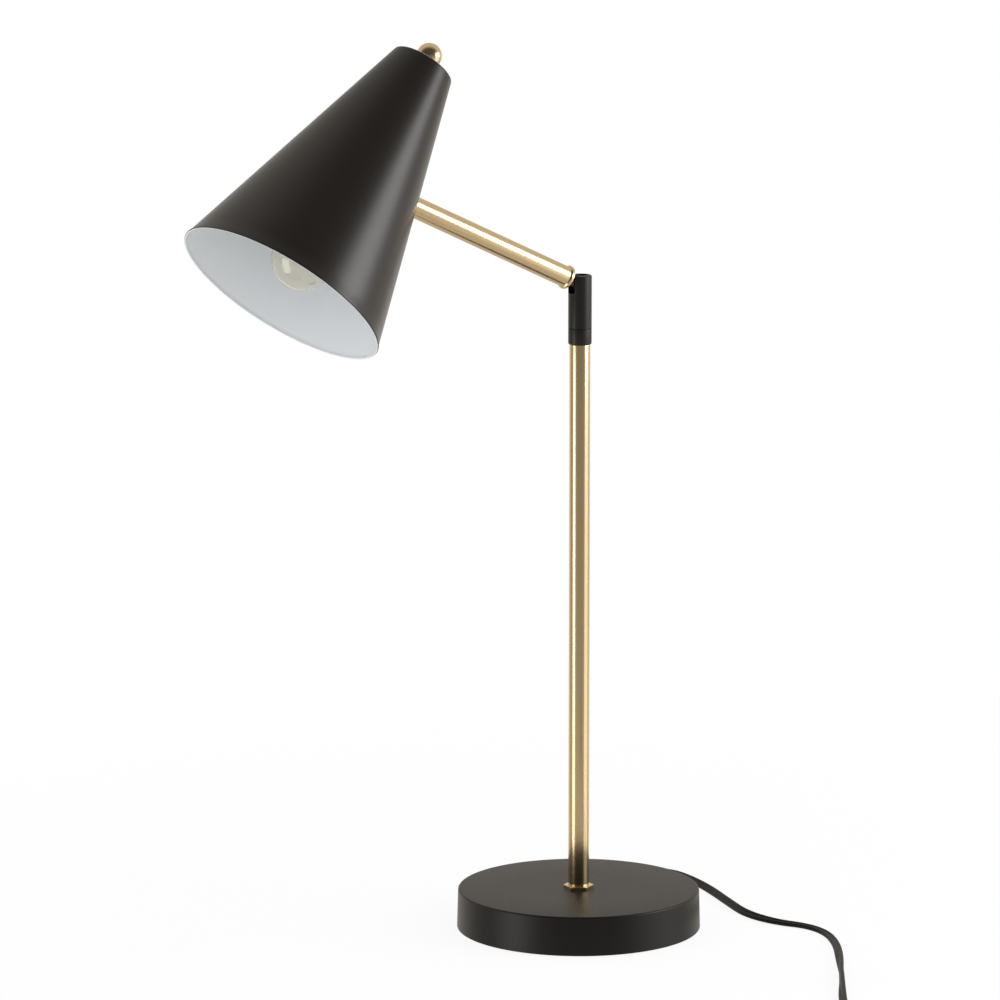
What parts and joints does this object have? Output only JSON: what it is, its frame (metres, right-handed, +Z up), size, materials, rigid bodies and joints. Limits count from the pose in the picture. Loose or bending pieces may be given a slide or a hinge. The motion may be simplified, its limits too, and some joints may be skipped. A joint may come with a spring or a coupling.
{
  "type": "desk lamp",
  "caption": "Desk lamp with a weighted round base, a straight stem, a swivelling knuckle, a tilting arm and a cone shade around a globe bulb, with cord, switch and plug.",
  "frame": {"origin": "middle of the underside of the base, on the table", "axes": "+Z up along the stem; the arm reaches towards -X at rest; the elbow's axis lies along Y"},
  "size_m": [0.4139, 0.552, 0.5931],
  "materials": {
    "base_enamel": "satin dark brown-black enamel",
    "brushed_gold": "brushed light brass under clear lacquer",
    "knuckle_black": "satin black",
    "shade_lacquer": "satin brown-black outside, satin white inside",
    "ballast_iron": "raw casting",
    "zinc_steel": "zinc plated",
    "bush_brass": "turned",
    "washer_nylon": "natural nylon",
    "pad_foam": "soft closed foam",
    "cord_vinyl": "black flexible vinyl",
    "tie_plastic": "black plastic coated wire",
    "lead_insulation": "clear vinyl over copper",
    "switch_plastic": "fine-grained black",
    "rocker_plastic": "glossy black",
    "plug_vinyl": "moulded black vinyl",
    "contact_brass": "bright stamped",
    "holder_phenolic": "moulded phenolic",
    "bulb_clear_glass": "clear, slightly warm",
    "cap_nickel": "nickel plated",
    "filament_yellow": "phosphor coated strip"
  },
  "bodies": {
    "base": {"base_shell": "base_enamel", "ballast_weight": "ballast_iron", "bottom_cover": "base_enamel", "cover_screws": "zinc_steel", "base_pad": "pad_foam", "threaded_rod": "zinc_steel", "foot_nut": "brushed_gold", "base_nut": "zinc_steel", "tooth_washer": "zinc_steel", "stem_tube": "brushed_gold", "stem_foot_bush": "bush_brass", "stem_head_bush": "bush_brass", "stem_collar": "knuckle_black", "stop_pin": "zinc_steel", "swivel_stud": "zinc_steel", "thrust_washer": "washer_nylon", "friction_washer": "washer_nylon", "stem_lead": "lead_insulation", "cord_gland": "cord_vinyl", "cord_lead": "cord_vinyl", "switch_base": "switch_plastic", "switch_cover": "switch_plastic", "switch_screws": "zinc_steel", "switch_contacts": "contact_brass", "cord_link": "cord_vinyl", "cord_coil": "cord_vinyl", "cord_tie": "tie_plastic", "cord_end": "cord_vinyl", "plug_body": "plug_vinyl", "plug_blades": "contact_brass"},
    "swivel_head": {"swivel_fork": "knuckle_black", "swivel_bush": "bush_brass", "elbow_screw": "knuckle_black", "elbow_washers": "washer_nylon"},
    "arm": {"arm_tongue": "knuckle_black", "arm_end_ring": "brushed_gold", "arm_tube": "brushed_gold", "arm_tip_bush": "bush_brass", "arm_nipple": "zinc_steel", "arm_washer": "zinc_steel", "arm_nut": "zinc_steel", "arm_lead": "lead_insulation", "shade": "shade_lacquer", "shade_rod": "zinc_steel", "shade_rod_nuts": "zinc_steel", "ball_finial": "brushed_gold", "holder_cap": "zinc_steel", "holder_body": "holder_phenolic", "holder_screw_shell": "contact_brass", "holder_contact": "contact_brass", "holder_lead": "lead_insulation", "bulb_glass": "bulb_clear_glass", "bulb_cap": "cap_nickel", "bulb_contact": "contact_brass", "bulb_stem": "bulb_clear_glass", "bulb_filaments": "filament_yellow"},
    "rocker": {"switch_rocker": "rocker_plastic"}
  },
  "joints": [
    {"name": "stem_swivel", "type": "hinge", "parent": "base", "child": "swivel_head", "pos_m": [0, 0, 0.4], "axis": [0, 0, 1], "range_deg": [-165, 165]},
    {"name": "elbow_tilt", "type": "hinge", "parent": "swivel_head", "child": "arm", "pos_m": [0, 0, 0.4312], "axis": [0, 1, 0], "range_deg": [-37, 64]},
    {"name": "switch_rock", "type": "hinge", "parent": "base", "child": "rocker", "pos_m": [-0.01974, -0.35446, 0.013], "axis": [0.8553, -0.5182, 0], "range_deg": [-14, 0]}
  ]
}
